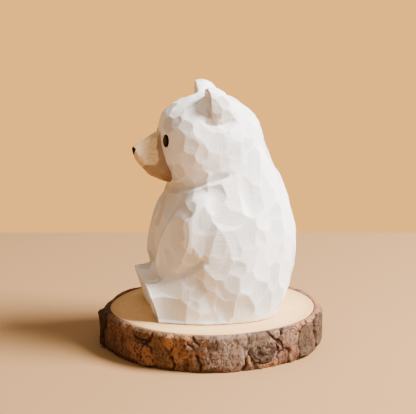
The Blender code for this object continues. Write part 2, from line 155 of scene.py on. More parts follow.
# The muzzle: share of the length, then the top, bottom and half width as shares of the half sizes.
MUZZLE = curve_table((
    (0.0, 1.0, -1.0, 1.0),
    (0.24, 0.915, -0.915, 0.94),
    (0.46, 0.77, -0.79, 0.815),
    (0.69, 0.61, -0.575, 0.65),
    (0.85, 0.505, -0.385, 0.5),
    (0.95, 0.43, -0.165, 0.37),
    (1.0, 0.36, 0.01, 0.23),
))
# Sizes in millimetres, with heights above the base.
TRUNK_HEIGHT, TRUNK_HALF_DEPTH, TRUNK_HALF_WIDTH, TRUNK_Y = 84.0, 31.5, 31.0, 4.0
HEAD_FOOT, HEAD_HEIGHT, HEAD_HALF_DEPTH, HEAD_HALF_WIDTH, HEAD_Y = 50.5, 39.0, 21.5, 21.0, -0.4
SHOULDER, PAW = np.array((21.0, -4.0, 50.0)), np.array((12.5, -21.0, 17.5))
ARM_HALF_WIDTH, ARM_HALF_DEPTH, ARM_HALF_LENGTH = 10.0, 11.5, 22.0
FOOT_HALF_WIDTH, FOOT_HEIGHT, FOOT_X = 7.4, 15.0, 13.2
THIGH_HALF_WIDTH, THIGH_HEIGHT, THIGH_X, HIP_Y = 11.2, 24.0, 17.2, 2.0
SOLE_Y, SOLE_LEAN = -26.2, math.tan(math.radians(16.0))
EAR_X, EAR_Y, EAR_Z, EAR_DEPTH = 11.8, -5.0, 83.2, 12.5
EAR_HALF_WIDTH, EAR_HALF_HEIGHT, EAR_LEAN, EAR_SKEW = 7.0, 9.5, math.radians(10.0), 0.1
MUZZLE_Y, MUZZLE_Z, MUZZLE_LENGTH = -19.3, 64.2, 13.0
MUZZLE_HALF_HEIGHT, MUZZLE_HALF_WIDTH, MUZZLE_TAPER, MUZZLE_SQUARENESS = 10.9, 9.0, 0.55, 2.35
AROUND, SMOOTHING, BODY_TRIANGLES = 72, 5, 185000


# ---- meshes ----
def mesh_object(name, points, faces):
    """A new object from points in millimetres."""
    mesh = bpy.data.meshes.new(name)
    mesh.from_pydata((np.asarray(points) * MM).tolist(), [], [list(face) for face in faces])
    mesh.validate()
    mesh.shade_smooth()
    obj = bpy.data.objects.new(name, mesh)
    bpy.context.scene.collection.objects.link(obj)
    return obj


def read(collection, name, width, kind=np.float32):
    flat = np.empty(len(collection) * width, kind)
    collection.foreach_get(name, flat)
    return flat.reshape(-1, width)


def points_of(obj):
    return read(obj.data.vertices, "co", 3).astype(float) / MM


def set_points(obj, points):
    obj.data.vertices.foreach_set("co", (points * MM).astype(np.float32).ravel())
    obj.data.update()


def normals_of(obj):
    return read(obj.data.vertex_normals, "vector", 3).astype(float)


def neighbour_mean(obj, values):
    """Each vertex's mean of values over the vertices that it shares an edge with, and itself."""
    a, b = read(obj.data.edges, "vertices", 2, np.int32).T
    shape = values.shape
    values = values.reshape(shape[0], -1)
    total, count = values.copy(), np.ones(shape[0])
    for i, j in ((a, b), (b, a)):
        count += np.bincount(i, minlength=shape[0])
        for column in range(values.shape[1]):
            total[:, column] += np.bincount(i, values[j, column], minlength=shape[0])
    return (total / count[:, None]).reshape(shape)


def add_attributes(obj, **columns):
    """Gives each vertex a number under each name. A list that is too short is repeated."""
    for name, values in columns.items():
        attribute = obj.data.attributes.new(name, "FLOAT", "POINT")
        values = np.resize(np.asarray(values, np.float32), len(attribute.data))
        attribute.data.foreach_set("value", values)


def applied(obj):
    """Turns an object's modifiers into its mesh."""
    graph = bpy.context.evaluated_depsgraph_get()
    mesh = bpy.data.meshes.new_from_object(obj.evaluated_get(graph))
    obj.modifiers.clear()
    obj.data = mesh
    return obj


def ring_faces(pairs, around):
    """Quads between pairs of rings, each given by its number."""
    faces = []
    for low, high in pairs:
        below, above = low * around, high * around
        for i in range(around):
            j = (i + 1) % around
            faces.append((below + i, below + j, above + j, above + i))
    return faces


def loft_faces(rings, around):
    """Quads between rings of points, one after the other, with a cap at each end."""
    faces = ring_faces([(row, row + 1) for row in range(rings - 1)], around)
    faces.append(tuple(reversed(range(around))))
    faces.append(tuple((rings - 1) * around + i for i in range(around)))
    return faces


# ---- knife cuts ----
STROKE_REACH, STROKE_TRIES = 13.0, 9000
# The surface is taken to fall away from a stroke at least this much, so that it never spreads far.
FALL_AWAY = 0.006
# A stroke only cuts where the surface faces its way, by the cosine of the angle between them.
FACING = 0.45


def unit(v):
    v = np.asarray(v, float)
    return v / np.maximum(np.linalg.norm(v, axis=-1, keepdims=True), 1e-9)


class Cuts:
    """Shallow knife strokes. Each takes away what stands above its own flat or slightly hollow floor.

    A stroke has a place, an outward direction, the direction that the knife moved in, a depth, and how
    quickly its floor rises at its far end, behind it and to its sides, per square millimetre.
    """

    def __init__(self):
        self.rows = []

    def add(self, place, outward, along, depth, end_rise, start_rise, side_rise):
        outward = unit(outward)
        along = np.asarray(along, float)
        along = unit(along - outward * (along @ outward))
        self.rows.append((np.asarray(place, float), outward, along, depth, end_rise, start_rise, side_rise))

    def carve(self, points, normals):
        """How deep the cuts go at each point, which is the deepest there, and its lead over the next."""
        best, second = np.zeros(len(points)), np.zeros(len(points))
        owner = np.full(len(points), -1)
        for number, row in enumerate(self.rows):
            place, outward, along, depth, end_rise, start_rise, side_rise = row
            offset = points - place
            distance = (offset**2).sum(1)
            near = np.nonzero(distance < STROKE_REACH**2)[0]
            offset, distance = offset[near], distance[near]
            u, v = offset @ along, offset @ np.cross(outward, along)
            height = np.minimum(offset @ outward, -FALL_AWAY * distance)
            rise = np.where(u > 0, end_rise, start_rise) * u * u + side_rise * v * v
            excess = np.where(normals[near] @ outward > FACING, height + depth - rise, 0)
            better = excess > best[near]
            second[near] = np.where(better, best[near], np.maximum(second[near], excess))
            owner[near[better]] = number
            best[near[better]] = excess[better]
        return best, owner, best - second


def scattered(points, spacing_at, along_at, rng, tries, allowed):
    """Indexes of points that are well spread, with spacing_at giving the spacing across and along."""
    candidates = rng.permutation(np.nonzero(allowed)[0])[:tries]
    across, lengthways = spacing_at(points[candidates])
    chosen = []
    kept_points, kept_along = np.empty((0, 3)), np.empty((0, 3))
    for index, a, b in zip(candidates, across, lengthways):
        offset = points[index] - kept_points
        u = (offset * kept_along).sum(1)
        v2 = (offset**2).sum(1) - u * u
        if chosen and (v2 / a**2 + u * u / b**2).min() < 1:
            continue
        chosen.append(index)
        kept_points = np.vstack([kept_points, points[index]])
        kept_along = np.vstack([kept_along, along_at[index]])
    return chosen


# ---- the carved body ----
def oval(around, power):
    """Points round a rounded square that fits in -1 to 1: an ellipse at power 2, squarer above it."""
    turn = np.linspace(0, 2 * math.pi, around, endpoint=False)
    c, s = np.cos(turn), np.sin(turn)
    return np.sign(c) * np.abs(c) ** (2 / power), np.sign(s) * np.abs(s) ** (2 / power)


def level_rings(table, foot, height, centre_y, half_depth, half_width, power):
    a, b = oval(AROUND, power)
    rings = []
    for share, front, back, width in table:
        y = centre_y + half_depth * ((front + back) / 2 + (back - front) / 2 * b)
        rings.append(np.stack([half_width * width * a, y, np.full(len(a), foot + height * share)], 1))
    return rings


def leg_rings(side):
    """A foot and thigh in one, from 5 mm before the sole back to the hip, above and below the base."""
    a, b = oval(AROUND, 3.2)
    toes_y = SOLE_Y - SOLE_LEAN * FOOT_HEIGHT - 5
    rings = []
    for share, growth in ((0.0, 0.0), (0.13, 0.0), (0.27, 0.08), (0.49, 0.55), (0.7, 0.9), (1.0, 1.0)):
        half_width = FOOT_HALF_WIDTH + (THIGH_HALF_WIDTH - FOOT_HALF_WIDTH) * growth
        x = FOOT_X + (THIGH_X - FOOT_X) * growth + a * half_width
        z = b * (FOOT_HEIGHT + (THIGH_HEIGHT - FOOT_HEIGHT) * growth)
        rings.append(np.stack([side * x, np.full(len(a), toes_y + (HIP_Y - toes_y) * share), z], 1))
    return rings


def ear_rings(side):
    """From the bottom of the hollow in the front, out over the rim and back to the ear's end."""
    a, b = oval(AROUND, 2.4)
    rings = []
    hollow = (
        (0.18, 0.4, 0.42, 0.0), (0.1, 0.66, 0.7, 0.0), (0.03, 0.78, 0.82, 0.0), (0.0, 0.84, 0.88, 0.0)
    )
    for share, width, height, drop in [*hollow, *EAR]:
        across, up = EAR_HALF_WIDTH * width * a, EAR_HALF_HEIGHT * (height * b - drop)
        x = EAR_X + across * math.cos(EAR_LEAN) + up * math.sin(EAR_LEAN)
        z = EAR_Z + up * math.cos(EAR_LEAN) - across * math.sin(EAR_LEAN)
        y = EAR_Y + EAR_DEPTH * share + EAR_SKEW * across
        rings.append(np.stack([side * x, y, z], 1))
    return rings


def arm_rings(side):
    along = unit(SHOULDER - PAW)
    outwards = unit(np.array((1.0, 0, 0)) - along * along[0])
    forwards = np.cross(along, outwards)
    turn = np.linspace(0, 2 * math.pi, AROUND, endpoint=False)
    rings = []
    for tilt in np.linspace(-1.5, 1.5, 25):
        ring = (SHOULDER + PAW) / 2 + along * ARM_HALF_LENGTH * math.sin(tilt)
        ring = ring + np.outer(np.cos(turn) * math.cos(tilt) * ARM_HALF_WIDTH, outwards)
        ring = ring + np.outer(np.sin(turn) * math.cos(tilt) * ARM_HALF_DEPTH, forwards)
        rings.append(ring * (side, 1, 1))
    return rings


def joined_shapes(name, shapes):
    points, faces = [], []
    for rings in shapes:
        start = sum(len(p) for p in points)
        points += rings
        faces += [tuple(start + i for i in face) for face in loft_faces(len(rings), len(rings[0]))]
    obj = mesh_object(name, np.vstack(points), faces)
    bm = bmesh.new()
    bm.from_mesh(obj.data)
    bmesh.ops.recalc_face_normals(bm, faces=bm.faces)
    bm.to_mesh(obj.data)
    bm.free()
    return obj


# The smooth front of each arm lies on a plane, a step below the strokes beside it.
ARM_PLANE, ARM_PLANE_AT, ARM_STEP, ARM_TONE = np.array((0.6, -0.8, 0.0)), 28.3, 1.15, 0.4
# The ragged line on the outer side of each arm where its smooth front begins: height and y.
ARM_EDGE = np.transpose((
    (18.0, -16.0), (22.0, -13.0), (25.2, -9.8), (27.0, -10.6), (28.6, -14.8), (31.0, -17.2), (33.5, -17.7),
    (35.2, -16.9), (37.0, -17.2), (40.0, -17.6), (42.5, -16.4), (44.0, -14.0), (45.2, -13.4), (47.0, -15.0),
    (49.0, -15.6), (51.0, -14.0),
))
# The lower edge of that front: y and height.
ARM_LOW_EDGE = np.transpose(((-28.0, 17.2), (-22.5, 18.2), (-15.5, 20.1), (-11.2, 24.1), (-8.4, 26.3)))
# Lines cut in with the knife's point on each side: depth, width, how much of the depth is gone at the rear
# end, and the places.
CHEEK_LINE = (
    1.7, 2.1, 0.7,
    ((12.5, -15.2, 53.2), (15.1, -13.1, 53.6), (18.6, -8.7, 55.4), (20.6, -5.1, 56.8), (21.8, -1.3, 58.3),
     (22.7, 2.9, 59.4)),
)
ARM_LINE = (
    1.9, 2.1, 0.0,
    ((13.0, -26.8, 17.2), (18.7, -22.5, 18.2), (22.5, -15.5, 20.1), (26.4, -11.2, 24.1), (27.6, -9.0, 26.2)),
)
EAR_LINE = (
    1.1, 1.3, 0.5,
    ((17.5, -6.0, 79.4), (18.3, -3.6, 78.8), (18.6, 0.8, 78.4), (18.2, 4.5, 79.8), (17.6, 7.2, 83.0)),
)
# A scattered stroke is this deep at this spacing, and its depth, tilt and direction vary by this much.
STROKE_DEPTH, STROKE_WIDTH, DEPTH_SPREAD, LEAN_SPREAD, SWING_SPREAD = 0.74, 6.3, 0.1, 0.09, 0.25
WORN_PLACE = (18.8, -4.2, 81.2)
# Strokes given for each side: place, outward direction, depth, the rises at the far end, behind and
# to the sides, and the tone of the paint where it is chosen. They are the scoop on the flank, the top and the
# outer side of the foot, the brow, and the front of the ear.
# The tone of 1 on the flank's scoop and the foot's top is painted highlight, and the tone of 0 on the foot's
# outer side is painted shade.
PLACED_STROKES = (
    ((26.6, 8.6, 49.5), (1.0, 0.3, 0.4), 1.45, 0.02, 0.003, 0.055, 1.0),
    ((20.0, -24.6, 12.6), (0.72, -0.22, 0.66), 1.45, 0.007, 0.01, 0.007, 1.0),
    ((20.4, -21.0, 5.0), (0.8, -0.48, -0.36), 1.3, 0.005, 0.005, 0.01, 0.0),
    ((12.2, -17.5, 79.3), (0.5, -0.7, 0.5), 0.5, 0.02, 0.02, 0.02, None),
    ((19.0, -4.0, 81.0), (0.92, -0.45, -0.1), 0.9, 0.03, 0.03, 0.03, None),
)


def folded(points):
    """The points with the right side of the bear laid over the left."""
    return np.hstack([np.abs(points[:, :1]), points[:, 1:]])


def arm_face(points):
    """From 0 to 1, how far each place is on the smooth front of an arm."""
    x, y, z = folded(points).T
    above_low_edge = ramp(z - np.interp(y, *ARM_LOW_EDGE), 0.0, 1.0)
    before_edge = ramp(np.interp(z, *ARM_EDGE) - y, -0.2, 0.35)
    return above_low_edge * ramp(-z, -52.5, -50.5) * ramp(x, 10.5, 14) * before_edge


def stroke_spacing(p):
    """The spacing of the knife strokes across and along: small on the head and feet, long on the back."""
    on_head = ramp(p[:, 2], 54, 62) * ramp(-p[:, 1], -18, -8)
    behind_eye = ramp(p[:, 2], 60, 66) * ramp(-p[:, 1], 5, 9) * ramp(-p[:, 2], -80, -76)
    on_ear = ramp(p[:, 2], 80, 84)
    low = 1 - ramp(p[:, 2], 24, 38)
    across = 5.9 - 1.2 * on_head - 0.5 * behind_eye - 0.9 * on_ear + 0.3 * low
    lengthways = 7.9 - 2.3 * on_head + 1.0 * behind_eye - 0.9 * on_ear - 2.2 * low
    on_foot = ramp(-p[:, 1], 8, 16) * ramp(-p[:, 2], -20, -14)
    return across - 2.2 * on_foot, lengthways - 2.2 * on_foot


def knife_marks(points, normals, rng):
    """Strokes spread over the block in the direction of the wood, and then the ones listed for each side."""
    cuts = Cuts()
    down = np.array((0.0, 0.15, -1.0))
    along = unit(down - normals * (normals @ down)[:, None])
    x, y, z = folded(points).T
    face = (y < -15.6) & (x < 15.2) & (z > 53) & (z < 77)
    arm = arm_face(points) > 0.5
    ear_front = (normals[:, 1] < -0.6) & (z > 79) & (y > EAR_Y - 2)
    sole = (y < SOLE_Y + 1.0) & (z < 15) & (normals[:, 1] < -0.6)
    allowed = (z > 2) & ~face & ~arm & ~ear_front & ~sole
    for index in scattered(points, stroke_spacing, along, rng, STROKE_TRIES, allowed):
        p, n, a = points[index], normals[index], along[index]
        across = stroke_spacing(p[None])[0][0]
        side = np.cross(n, a)
        lean = rng.normal(0, LEAN_SPREAD, 2)
        swing = rng.normal(0, SWING_SPREAD)
        outward = n + a * lean[0] + side * lean[1]
        direction = a * math.cos(swing) + side * math.sin(swing)
        depth = (STROKE_DEPTH + rng.normal(0, DEPTH_SPREAD)) * (across / STROKE_WIDTH)
        end_rise, side_rise = rng.uniform(0.01, 0.028), rng.uniform(0.004, 0.018)
        cuts.add(p, outward, direction, depth, end_rise, -0.002, side_rise)
    for side in (1, -1):
        mirror = np.array((side, 1, 1))
        for place, outward, *shape, _ in PLACED_STROKES:
            cuts.add(place * mirror, outward * mirror, (0, 0.05, -1), *shape)
    return cuts


def crease_depth(points):
    """How deep the cut-in lines are at each place."""
    mirrored = folded(points)
    total = np.zeros(len(points))
    for depth, width, faded, line in (CHEEK_LINE, ARM_LINE, EAR_LINE):
        rear = line[-1][1]
        fade = 1 - faded * ramp(mirrored[:, 1], rear - 4, rear)
        nearest = distance_to_line(mirrored, line)
        total = np.maximum(total, depth * fade * np.clip(1 - nearest / width, 0, 1) ** 1.2)
    return total


def remeshed(obj, voxel):
    remesh = obj.modifiers.new("one_block", "REMESH")
    remesh.mode = "VOXEL"
    remesh.voxel_size = voxel * MM
    return applied(obj)


def plain_block():
    """The whole block before the knife: rounded masses, a flat base, leaning soles and hollow ear fronts."""
    skirt = TRUNK[0] - (0.07, 0, 0, 0)
    trunk = np.vstack([skirt, TRUNK])
    shapes = [
        level_rings(trunk, 0.0, TRUNK_HEIGHT, TRUNK_Y, TRUNK_HALF_DEPTH, TRUNK_HALF_WIDTH, 2.15),
        level_rings(HEAD, HEAD_FOOT, HEAD_HEIGHT, HEAD_Y, HEAD_HALF_DEPTH, HEAD_HALF_WIDTH, 2.55),
    ]
    for side in (1, -1):
        shapes += [leg_rings(side), arm_rings(side), ear_rings(side)]
    voxel = 0.4
    obj = remeshed(joined_shapes("carved_bear", shapes), voxel)
    points = points_of(obj)
    x, y, z = folded(points).T
    ear = ramp(z, 77, 80) * ramp(x, 7, 10) * ramp(-y, -9, -6)
    for step in range(int(SMOOTHING / voxel**2)):
        share = 1 - (0.98 if step % 3 else 0.75) * ear
        points += (neighbour_mean(obj, points) - points) * share[:, None]
    points[:, 2] = np.maximum(points[:, 2], 0)
    sole = SOLE_Y - SOLE_LEAN * points[:, 2]
    points[:, 1] = np.where(points[:, 2] < 22, np.maximum(points[:, 1], sole), points[:, 1])
    for _ in range(4):
        low_down = 0.8 * ramp(points[:, 2], 0.3, 1.0) * ramp(-points[:, 2], -24, -20)
        points += (neighbour_mean(obj, points) - points) * low_down[:, None]
    proud = np.clip(folded(points) @ ARM_PLANE - ARM_PLANE_AT, 0, 3) * arm_face(points)
    points[:, 0] -= proud * np.sign(points[:, 0]) * ARM_PLANE[0]
    points[:, 1] -= proud * ARM_PLANE[1]
    set_points(obj, points)
    obj = remeshed(obj, voxel)
    points = points_of(obj)
    for _ in range(2):
        points = neighbour_mean(obj, points)
    points[:, 2] = np.where(points[:, 2] < 0.12, 0, points[:, 2])
    set_points(obj, points)
    return obj


def build_body():
    """Carves the block, and returns its points and normals for the pieces that sit on it."""
    obj = plain_block()
    points, normals = points_of(obj), normals_of(obj)
    rng = np.random.default_rng(5)
    cuts = knife_marks(points, normals, rng)
    depth, owner, clear = cuts.carve(points, normals)
    arm = arm_face(points)
    depth = depth * (1 - arm) + ARM_STEP * arm
    depth = (depth + crease_depth(points)) * ramp(points[:, 2], 0.15, 1.2)
    carved = points - normals * depth[:, None]
    carved[:, 2] += BASE
    set_points(obj, carved)
    # One tone of paint for each stroke, and the last for places without one.
    # The strokes placed on each side keep their listed tones: painted highlight on the flank's scoop and the
    # foot's top, painted shade on the foot's outer side.
    tone = rng.uniform(0, 1, len(cuts.rows) + 1)
    for number, stroke in enumerate(2 * PLACED_STROKES, len(cuts.rows) - 2 * len(PLACED_STROKES)):
        if stroke[-1] is not None:
            tone[number] = stroke[-1]
    add_attributes(obj, tone=tone[owner] * (1 - arm) + ARM_TONE * arm, ridge=1 - np.clip(clear / 0.13, 0, 1))
    # Paint worn through at the foot of the ear and along its front edge.
    x, y, z = folded(points).T
    worn = ramp(-np.linalg.norm(folded(points) - WORN_PLACE, axis=1), -2.9, -2.2)
    from_edge = np.abs(y - EAR_Y - EAR_SKEW * (x - EAR_X) - 0.2)
    edge = (1 - ramp(from_edge, 0.2, 0.6)) * ramp(z, 80.5, 82.5) * ramp(x, 11.5, 14.5)
    add_attributes(obj, bare=np.maximum(worn, 0.8 * edge))
    normals = normals_of(obj)
    thin = obj.modifiers.new("fewer", "DECIMATE")
    thin.ratio = min(1.0, BODY_TRIANGLES / (2 * len(obj.data.polygons)))
    applied(obj)
    obj.data.shade_smooth()
    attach(obj, "bear")
    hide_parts("carved_body")
    obj.data.materials.append(white_paint())
    return carved, normals


# ---- the muzzle, nose and eyes ----
# The planes cut on the muzzle, from the left side or the middle: place, outward direction, depth and tone.
# The tones are painted light and shade: light on the upper side planes, the tip and the top, dark on the rear
# planes beside the face, the lower planes and under the chin.
MUZZLE_PLANES = (
    ((3.2, -28.6, 68.8), (0.8, -0.42, 0.45), 0.6, 0.72),
    ((5.2, -26.8, 66.5), (0.93, -0.34, 0.12), 0.7, 0.78),
    ((6.7, -22.6, 70.0), (0.88, 0.05, 0.48), 1.0, 0.15),
    ((8.7, -21.6, 63.5), (1.0, 0.02, 0.05), 0.95, 0.0),
    ((6.4, -26.6, 60.4), (0.8, -0.38, -0.46), 1.0, 0.2),
    ((3.9, -30.6, 64.4), (0.62, -0.76, -0.16), 0.55, 0.7),
    ((8.4, -22.6, 57.4), (0.76, -0.14, -0.64), 0.8, 0.0),
    ((4.6, -28.4, 58.6), (0.5, -0.5, -0.7), 0.6, 0.2),
    ((0.0, -22.6, 73.6), (0.0, -0.3, 0.95), 0.45, 0.7),
    ((0.0, -28.2, 70.4), (0.0, -0.52, 0.85), 0.45, 0.65),
    ((0.0, -24.0, 54.6), (0.0, -0.3, -0.95), 0.6, 0.1),
    ((0.0, -30.0, 59.0), (0.0, -0.75, -0.66), 0.6, 0.3),
)


def muzzle_rings(count, around):
    """Upright rings from inside the face out to the muzzle's tip, and three more that close the tip."""
    a, b = oval(around, MUZZLE_SQUARENESS)
    rings = []
    for share in np.concatenate([[-0.3], np.linspace(0, 1, count)]):
        top, bottom, width = looked_up(MUZZLE, share)
        half_height = MUZZLE_HALF_HEIGHT * (top - bottom) / 2
        middle = MUZZLE_Z + MUZZLE_HALF_HEIGHT * (top + bottom) / 2
        x = MUZZLE_HALF_WIDTH * width * a * (1 - MUZZLE_TAPER * b)
        y = np.full(around, MUZZLE_Y - MUZZLE_LENGTH * share)
        rings.append(np.stack([x, y, middle + half_height * b], 1))
    for shrink in (0.72, 0.42, 0.15):
        last = rings[count]
        centre = last.mean(0)
        tip = centre + (last - centre) * shrink
        tip[:, 1] -= 0.55 * (1 - shrink)
        rings.append(tip)
    return rings


def build_muzzle():
    count, around = 70, 180
    rings = muzzle_rings(count, around)
    obj = mesh_object("muzzle_carved", np.vstack(rings), loft_faces(len(rings), around))
    points, normals = points_of(obj), normals_of(obj)
    cuts, tones = Cuts(), []
    for place, outward, depth, tone in MUZZLE_PLANES:
        for side in (1, -1) if place[0] else (1,):
            where = np.array(place) * (side, 1, 1)
            where = points[((points - where) ** 2).sum(1).argmin()]
            cuts.add(where, np.array(outward) * (side, 1, 1), (0, -1, -0.4), depth, 0.006, 0.002, 0.006)
            tones.append(tone)
    depth, owner, clear = cuts.carve(points, normals)
    depth = neighbour_mean(obj, depth)
    points = points - normals * depth[:, None]
    # The mouth: a fine V-groove from under the nose down to a short smile on each side.
    x, y, z = points.T
    mouth = np.abs(z - (61.6 - 0.02 * x * x)) + 4 * ramp(y, -27.5, -25.5)
    philtrum = np.abs(x) + 4 * ramp(z, 65.6, 66.6) + 4 * ramp(-z, -61.8, -61.0)
    groove = np.clip(1 - np.minimum(mouth, philtrum) / 0.35, 0, 1) * ramp(-y, 24, 26)
    points = points - normals * (0.14 * groove)[:, None]
    points[:, 2] += BASE
    set_points(obj, points)
    tone = neighbour_mean(obj, np.array([*tones, 0.5])[owner])
    # The groove attribute darkens the wood: painted shade in the mouth's V-groove and along the seam under
    # the head's edge.
    add_attributes(obj, tone=tone, groove=np.maximum(0.6 * groove, 0.45 * (1 - ramp(-y, 19.6, 22.0))))
    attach(obj, "bear")
    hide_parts("muzzle")
    obj.data.materials.append(carved_wood())


def bead(name, centre, turn, half_width, half_height, proud, replaced):
    """A domed oval stud whose face points along the local -Y."""
    a, b = oval(48, 2)
    profile = [(2.0, 0.985), (0.1, 1.0)]
    for t in np.linspace(0.0, 0.985, 14):
        profile.append((-proud * math.sin(t * math.pi / 2), math.cos(t * math.pi / 2) ** 0.8))
    rings = []
    for depth, share in profile:
        local = [half_width * share * a, np.full(len(a), depth), half_height * share * b]
        rings.append(np.array(centre) + np.stack(local, 1) @ np.array(turn).T)
    obj = joined_shapes(name, [rings])
    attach(obj, "bear")
    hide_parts(replaced)
    obj.data.materials.append(black_gloss())


def build_beads(body, normals):
    """Eyes and nose tip, set on the carved surface where the CAD pieces are."""
    for word in ("left", "right"):
        low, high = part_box(f"eye_{word}")
        x, z = (low.x + high.x) / 2 / MM * 1.05, (low.z + high.z) / 2 / MM
        in_line = (np.abs(body[:, 0] - x) < 0.7) & (np.abs(body[:, 2] - z) < 0.7)
        middle = body[np.where(in_line, body[:, 1], FAR).argmin()]
        near = ((body - middle) ** 2).sum(1) < 2.3**2
        outward = Vector(unit(normals[near].mean(0)))
        centre = Vector(body[near].mean(0)) + outward * 0.22
        turn = (-outward).to_track_quat("Y", "Z").to_matrix()
        bead(f"eye_bead_{word}", centre, turn, 2.2, 2.6, 0.36, f"eye_{word}")
    low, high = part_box("nose")
    centre = Vector(((low.x + high.x) / 2, low.y + 0.5 * MM, (low.z + high.z) / 2 - 0.5 * MM)) / MM
    bead("nose_tip", centre, Matrix.Rotation(math.radians(12), 3, "X"), 2.0, 1.8, 0.6, "nose")


# ---- the slice of log ----
# The log's outline: a circle with waves, each with a number round the log, a size and a turn in degrees.
WOOD_RADIUS, BARK_RADIUS, BARK_THICKNESS = 41.2, 43.0, 2.5
LOBES = ((2, 0.026, 180.0), (3, 0.008, 40.0), (5, 0.005, 110.0), (8, 0.0025, 20.0))
SAW_BEVEL, MM_PER_DEGREE, CRACK_SWING, CRACK_HALF_WIDTH = 0.35, 0.75, 1.1 / 1.5, 0.3


def wood_radius(angle):
    lobes = sum(share * np.cos(waves * angle + math.radians(turn)) for waves, share, turn in LOBES)
    return WOOD_RADIUS * (1 + lobes)


def on_log(angle, z, radius=BARK_RADIUS):
    """Places round the log, at heights above the table."""
    return np.stack([radius * np.cos(angle), radius * np.sin(angle), angle * 0 + z], 1)


def in_degrees(angle):
    return np.degrees((angle + math.pi) % (2 * math.pi) - math.pi)


def build_disc():
    """The wood: rings of points out from the pith on both faces, with a fine saw texture."""
    angle = np.linspace(0, 2 * math.pi, 180, endpoint=False)
    rings = []
    shares = np.linspace(0.02, 1.0, 30) ** 0.8
    for z, order in ((0.0, shares), (SLICE_TOP, shares[::-1])):
        for share in order:
            inset = SAW_BEVEL if share == shares[-1] else 0.0
            rings.append(on_log(angle, z, (wood_radius(angle) - inset) * share))
        if z == 0.0:
            for level in (SAW_BEVEL, SLICE_TOP - SAW_BEVEL):
                rings.append(on_log(angle, level, wood_radius(angle)))
    obj = joined_shapes("log_wood", [rings])
    points = points_of(obj)
    top = ramp(points[:, 2], SLICE_TOP - 0.1, SLICE_TOP)
    away = ramp(np.hypot(points[:, 0], points[:, 1]), 30, 41)
    ripple = fractal(points * (1, 1, 0), 9.0, 3, 3) * 0.1 - 0.05
    points[:, 2] += top * away * ripple
    set_points(obj, points)
    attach(obj, "base")
    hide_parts("slice_wood")
    obj.data.materials.append(sawn_wood())


# Deep cracks on the camera's side, as places in degrees round the log and millimetres up it.
CRACKS = (
    ((-44, 13.6), (-47, 11.0), (-49, 8.6), (-52, 6.2), (-51, 3.0)),
    ((-56, 11.5), (-51, 10.0), (-47, 11.2)),
    ((-24, 12.4), (-21.5, 10.6)),
    ((-19, 6.4), (-16.5, 3.6), (-17, 1.0)),
    ((-33, 0.0), (-31, 3.2), (-33, 6.0)),
    ((20, 14.2), (23, 11.8), (27, 9.8), (30, 6.8), (33, 6.0), (33.5, 0.0)),
    ((30, 6.8), (26, 5.6), (25, 4.0)),
    ((5, 0.0), (7, 3.0), (6, 5.5)),
)


def drawn_crack(angle, z):
    """From 0 to 1, how far each place is inside one of the deep cracks."""
    around = on_log(angle, z)
    wander = np.stack([fractal(around, 2.4, 4, 51), fractal(around, 2.4, 4, 52)], 1)
    place = np.stack([in_degrees(angle) * MM_PER_DEGREE, z], 1) + 1.1 * wander
    nearest = np.full(len(z), FAR)
    for line in CRACKS:
        nearest = np.minimum(nearest, distance_to_line(place, np.array(line) * (MM_PER_DEGREE, 1)))
    width = 0.3 + 0.3 * fractal(around, 3.0, 2, 53)
    return 0.85 * (1 - ramp(nearest, width, width + 0.4))


def bark_relief(angle, z):
    """How far the inner bark stands out or in at a place, and how dark it is painted: dark in the cracks,
    with painted shade in the hollows between lumps.
    """
    around = on_log(angle, z * 0.75)
    swell = fractal(around, 11.0, 3, 21) * 0.9 + 0.25
    lumps = fractal(around * (1, 1, 0.9), 3.0, 4, 31)
    warp = np.stack([fractal(around, 5.0, 3, 41), fractal(around, 5.0, 3, 43)], 1) * 3.0
    # Fine cracks run where the two nearest of the scattered seeds are equally far.
    rng = np.random.default_rng(9)
    seeds = np.stack([rng.uniform(-math.pi, math.pi, 58) * BARK_RADIUS, rng.uniform(-3, 18, 58)], 1)
    turn = 2 * math.pi * BARK_RADIUS
    place = np.stack([angle * BARK_RADIUS, z], 1) + warp
    nearest = np.full((len(z), 2), FAR)
    for seed in np.vstack([seeds + (shift, 0) for shift in (-turn, 0, turn)]):
        distance = np.hypot(place[:, 0] - seed[0], (place[:, 1] - seed[1]) / 1.6)
        nearest = np.sort(np.concatenate([nearest, distance[:, None]], 1), axis=1)[:, :2]
    crack = 1 - ramp(nearest[:, 1] - nearest[:, 0], 0.1, 0.7)
    present = 0.85 * ramp(fractal(around, 9.0, 2, 55), -0.08, 0.2)
    crack = np.maximum(crack * present, drawn_crack(angle, z))
    # The low spots between lumps are darkened as painted shade.
    return swell + 0.75 * lumps - 0.8 * crack, np.maximum(crack, 0.6 * ramp(-lumps, 0.14, 0.46))


def bark_hues(angle, z):
    """How rusty and how pale the bark is: a broad stretch of each on the camera's side, patches elsewhere."""
    degrees, around = in_degrees(angle), on_log(angle, z)
    wander = 9 * fractal(around, 9.0, 3, 91)
    stretch = ramp(degrees + wander, -85, -38) * ramp(-degrees - wander, 15, 24)
    rust = np.maximum(stretch, 0.7 * ramp(fractal(around, 16.0, 3, 92), 0.15, 0.35))
    pale = ramp(degrees + wander, -24, -16) * ramp(-degrees + wander, -34, -18)
    return rust, np.maximum(pale, 0.6 * ramp(fractal(around, 12.0, 3, 93), 0.1, 0.3)) * (1 - rust)


